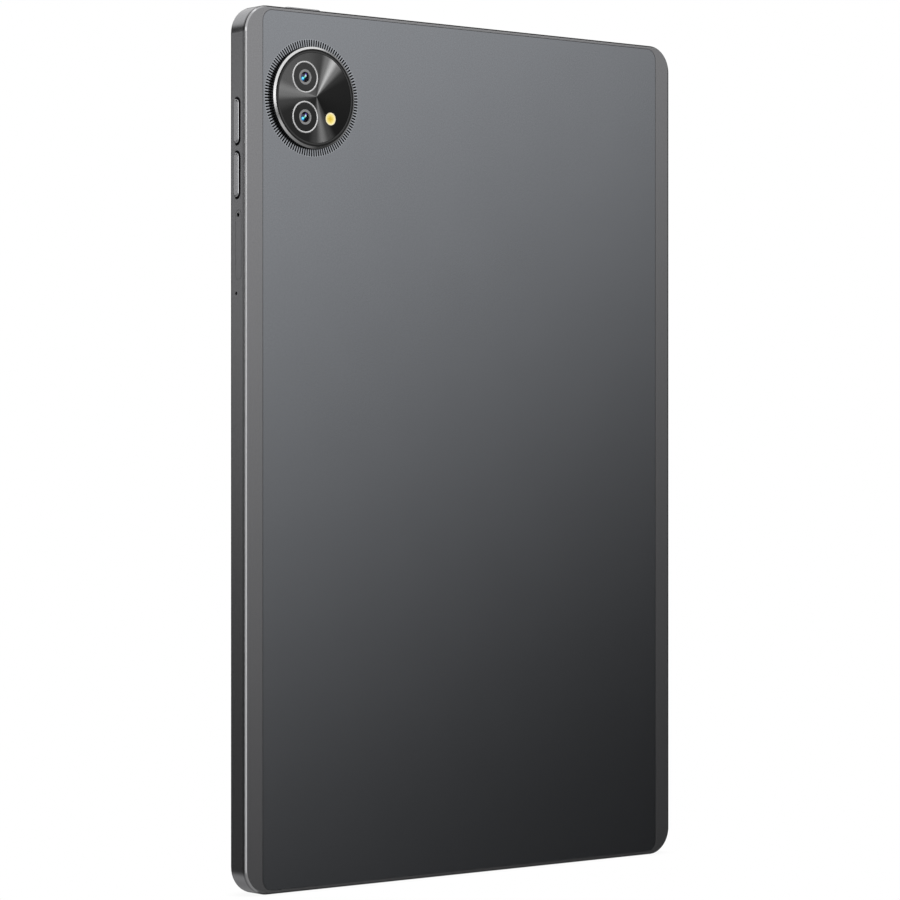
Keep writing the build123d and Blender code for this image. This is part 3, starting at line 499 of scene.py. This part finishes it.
def glass_front_material():
    """The front glass: black printed border, and a display that is off behind it."""
    material, tree, shader = blank("screen_glass")
    parts = split(tree, place(tree))
    x = calc(tree, "ABSOLUTE", parts["X"])
    z = calc(tree, "ABSOLUTE", calc(tree, "SUBTRACT", parts["Z"], MIDDLE.z))
    inside = calc(tree, "MULTIPLY", calc(tree, "LESS_THAN", x, ACTIVE_W / 2),
                  calc(tree, "LESS_THAN", z, ACTIVE_H / 2))
    tone = noise(tree, 30.0)
    off = blend(tree, tone, (0.010, 0.011, 0.014, 1), (0.014, 0.015, 0.019, 1))
    border = blend(tree, tone, grey(0.0035), grey(0.005))
    feed(tree, shader, "Base Color", blend(tree, inside, border, off))
    feed(tree, shader, "Roughness", ramp(tree, noise(tree, 400.0), 0.2, 0.8, 0.03, 0.07))
    shader.inputs["Coat Weight"].default_value = 1.0
    shader.inputs["Coat Roughness"].default_value = 0.02
    radius, _ = polar(tree, FRONT_CAMERA)
    feed(tree, shader, "Alpha", ramp(tree, radius, 1.45 * MM, 1.55 * MM, 0.15, 1.0))
    return material


# ---- materials of the parts inside, and of small parts ----
METALS = {"aluminium", "brushed_steel", "chrome", "painted_metal"}
SMALL_ROUGHNESS = {"aluminium": 0.35, "brushed_steel": 0.3, "glass": 0.08, "gloss_plastic": 0.22,
                   "matte_plastic": 0.5, "rubber": 0.7, "fabric": 0.9}


def small_material(slot):
    """A moulded, pressed or coated small part, from its slot in the record."""
    material, tree, shader = blank(slot["slot"])
    colour = tuple(slot["base_color"][:3]) + (1,)
    roughness = SMALL_ROUGHNESS.get(slot["class"], 0.45)
    grain = noise(tree, 1600.0, 3.0)
    cloud = noise(tree, 120.0, 2.0)
    tone = calc(tree, "ADD", calc(tree, "MULTIPLY", grain, 0.5), calc(tree, "MULTIPLY", cloud, 0.5))
    feed(tree, shader, "Base Color", blend(tree, tone, scaled(colour, 0.82), scaled(colour, 1.18)))
    feed(tree, shader, "Roughness", ramp(tree, grain, 0.2, 0.8, roughness * 0.85, roughness * 1.15))
    feed(tree, shader, "Metallic", 1.0 if slot["class"] in METALS else 0.0)
    bump(tree, shader, grain, 0.01 * MM, 0.5)
    return material


def dress_nodes():
    """Gives every CAD node its material."""
    record = frame["record"]
    slots = {m["slot"]: m for m in record["materials"]}
    materials = {
        "panel_satin": panel_material(),
        "frame_satin": frame_material("frame_satin"),
        "key_satin": key_material("key_satin"),
        "tray_metal": frame_material("tray_metal"),
        "trim_metal": trim_material(),
        "bezel_metal": bezel_material(),
        "disc_metal": disc_material(),
        "ring_metal": ring_material(),
        "lens_cover": cover_material(),
        "flash_lens": flash_material(),
        "screen_glass": glass_front_material(),
        "camera_lens": lens_material(),
    }
    # the microphone's mesh, at the bottom of its hole, is painted black as painted shade, darker than
    # the metal of its slot
    dark = small_material(dict(slots["rubber_black"], slot="microphone_painted_shade",
                               base_color=(0.01, 0.01, 0.01)))
    for part in record["subparts"]:
        slot = part["material_slot"]
        if slot not in materials:
            materials[slot] = small_material(slots[slot])
        mesh = frame["nodes"][part["node"]].data
        mesh.materials.clear()
        mesh.materials.append(dark if part["node"] == "microphone" else materials[slot])


# ---- studio ----
# The lights stand far off. Angles are in degrees, and azimuths run from +X towards +Y.
# Azimuth, elevation, radius, softness and strength:
BACK_DOME = (90.5, 44.5, 54.5, 7.5, 0.76)
# Azimuth, elevation, half width, half height, softness and strength:
PANEL_LIGHTS = [
    (50.5, 0.0, 12.7, 20.0, 4.0, 1.8),             # strip by the camera
    (-39.7, 4.8, 13.5, 4.0, 4.0, 1.1),             # low strip on the key side
    (-90.0, 43.0, 33.0, 22.5, 4.0, 0.9),           # above the screen side
    (-65.0, -29.0, 12.0, 8.0, 7.0, 0.12),          # low on the screen side
    (86.0, -33.0, 26.0, 13.0, 8.0, 0.15),          # low behind the back
    (56.0, 85.5, 53.0, 14.0, 6.0, 0.87),           # overhead
    (0.0, -56.0, 140.0, 34.0, 6.0, 0.30),          # the pale floor
    (182.0, 6.0, 28.0, 34.0, 8.0, 0.14),           # fill from the plain side
    (-138.0, 4.0, 20.0, 24.0, 10.0, 0.10),         # fill between that side and the screen
    (-92.0, 0.0, 14.0, 14.0, 10.0, 0.12),          # weak, straight at the screen
    (5.0, 8.0, 14.0, 22.0, 10.0, 0.09),            # weak, straight at the key side
    (140.0, -9.0, 9.0, 12.0, 6.0, -0.04),          # a black flag, which takes light away
]
AMBIENT = 0.045     # level of the light from everywhere else
BACKDROP = 1.0      # level of the surround that the camera sees


def edge(tree, value, limit, soft):
    """One inside a limit and none outside it, with a soft edge, in degrees."""
    return ramp(tree, value, math.radians(limit - soft), math.radians(limit + soft), 1.0, 0.0)


def round_light(tree, direction, azimuth, elevation, radius, soft, strength):
    """A round soft light in the world, as a level."""
    up, round_z = math.radians(elevation), math.radians(azimuth)
    middle = (math.cos(up) * math.cos(round_z), math.cos(up) * math.sin(round_z), math.sin(up))
    facing = add(tree, "ShaderNodeVectorMath", {0: direction, 1: middle}, operation="DOT_PRODUCT")
    away = calc(tree, "ARCCOSINE", calc(tree, "MINIMUM", facing.outputs["Value"], 1.0))
    return calc(tree, "MULTIPLY", edge(tree, away, radius, soft), strength)


def panel_light(tree, direction, azimuth, elevation, half_w, half_h, soft, strength):
    """A rectangular soft light in the world, as a level."""
    inputs = {"Vector": direction, "Angle": -math.radians(azimuth)}
    turned = add(tree, "ShaderNodeVectorRotate", inputs, rotation_type="Z_AXIS")
    parts = split(tree, turned.outputs[0])
    across = calc(tree, "ABSOLUTE", calc(tree, "ARCTAN2", parts["Y"], parts["X"]))
    up = calc(tree, "SUBTRACT", calc(tree, "ARCSINE", parts["Z"]), math.radians(elevation))
    wide = edge(tree, across, half_w, soft)
    high = edge(tree, calc(tree, "ABSOLUTE", up), half_h, soft)
    return calc(tree, "MULTIPLY", calc(tree, "MULTIPLY", wide, high), strength)


def make_studio():
    """Soft studio light for the object, and a plain white surround for the view."""
    world = bpy.data.worlds.new("studio")
    bpy.context.scene.world = world
    world.use_nodes = True
    tree = world.node_tree
    tree.nodes.clear()
    direction = add(tree, "ShaderNodeTexCoord").outputs["Generated"]
    level = calc(tree, "ADD", round_light(tree, direction, *BACK_DOME), AMBIENT)
    for light in PANEL_LIGHTS:
        level = calc(tree, "ADD", panel_light(tree, direction, *light), level)
    lit = add(tree, "ShaderNodeBackground", {"Color": level, "Strength": 1.0})
    white = add(tree, "ShaderNodeBackground", {"Color": grey(BACKDROP), "Strength": 1.0})
    seen = add(tree, "ShaderNodeLightPath").outputs["Is Camera Ray"]
    mixed = add(tree, "ShaderNodeMixShader", {0: seen, 1: lit.outputs[0], 2: white.outputs[0]})
    output = add(tree, "ShaderNodeOutputWorld")
    tree.links.new(mixed.outputs[0], output.inputs["Surface"])
    bpy.context.scene.view_settings.view_transform = "Standard"


FLOOR_HALF = 6.0                # half the floor's width
FLOOR_SHADOW_REACH = 0.006       # how far from the tablet the painted contact shadow reaches
FLOOR_PAINTED_SHADOW = 0.94              # level of the painted contact shadow under the tablet's edge


def make_floor():
    """A plain pale floor, glowing evenly, with a painted contact shadow where the tablet stands on
    it.
    """
    mesh = bpy.data.meshes.new("floor")
    signs = ((-1, -1), (1, -1), (1, 1), (-1, 1))
    corners = [(x * FLOOR_HALF, y * FLOOR_HALF, 0) for x, y in signs]
    mesh.from_pydata(corners, [], [(0, 1, 2, 3)])
    floor = bpy.data.objects.new("floor", mesh)
    bpy.context.scene.collection.objects.link(floor)
    floor.visible_glossy = False
    floor.visible_diffuse = False
    floor.visible_shadow = False
    material = bpy.data.materials.new("floor_white")
    material.use_nodes = True
    tree = material.node_tree
    tree.nodes.clear()
    inputs = {"Distance": FLOOR_SHADOW_REACH}
    # painted shadow: the floor's glow is darkened near the tablet
    near = add(tree, "ShaderNodeAmbientOcclusion", inputs, samples=8).outputs["AO"]
    tone = ramp(tree, near, 0.35, 0.95, FLOOR_PAINTED_SHADOW, 1.0)
    glow = add(tree, "ShaderNodeEmission", {"Color": tone, "Strength": 1.0})
    output = add(tree, "ShaderNodeOutputMaterial")
    tree.links.new(glow.outputs[0], output.inputs["Surface"])
    mesh.materials.append(material)


make_camera()
dress_nodes()
make_studio()
make_floor()
